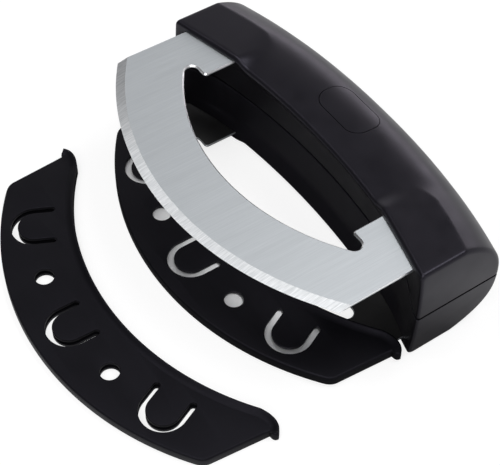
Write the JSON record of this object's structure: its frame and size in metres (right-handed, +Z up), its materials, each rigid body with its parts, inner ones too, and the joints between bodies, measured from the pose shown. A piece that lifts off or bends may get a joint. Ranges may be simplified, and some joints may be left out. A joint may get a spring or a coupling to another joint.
{
  "type": "double mezzaluna",
  "caption": "Rocking chopper with parallel curved steel blades, an arched black plastic handle and slotted black blade guards, one fitted and one lying beside it.",
  "frame": {"origin": "middle of the footprint, on the surface that the tool and the loose guard lie on", "axes": "+X along the blades, +Y from the cutting edges to the handle's back, +Z up, across the blades"},
  "size_m": [0.1794, 0.1794, 0.052],
  "materials": {
    "handle_plastic": "satin moulded",
    "guard_plastic": "satin moulded",
    "blade_steel": "brushed, ground bevel",
    "screw_steel": "zinc plated",
    "sleeve_plastic": "natural"
  },
  "bodies": {
    "handle": {"front_shell": "handle_plastic", "back_shell": "handle_plastic", "field_inlay": "handle_plastic", "front_blade": "blade_steel", "back_blade": "blade_steel", "foot_screw_left": "screw_steel", "foot_screw_right": "screw_steel", "grip_screw_left": "screw_steel", "grip_screw_right": "screw_steel", "spacer_sleeve_left": "sleeve_plastic", "spacer_sleeve_right": "sleeve_plastic"},
    "fitted_guard": {"fitted_guard": "guard_plastic"},
    "loose_guard": {"loose_guard": "guard_plastic"}
  },
  "joints": [
    {"name": "fitted_guard_slide", "type": "slide", "parent": "handle", "child": "fitted_guard", "axis": [0, -1, 0], "range_m": [0, 0.018]},
    {"name": "loose_guard_lift", "type": "slide", "parent": "handle", "child": "loose_guard", "axis": [0, 0, 1], "range_m": [0, 0.0462]}
  ]
}
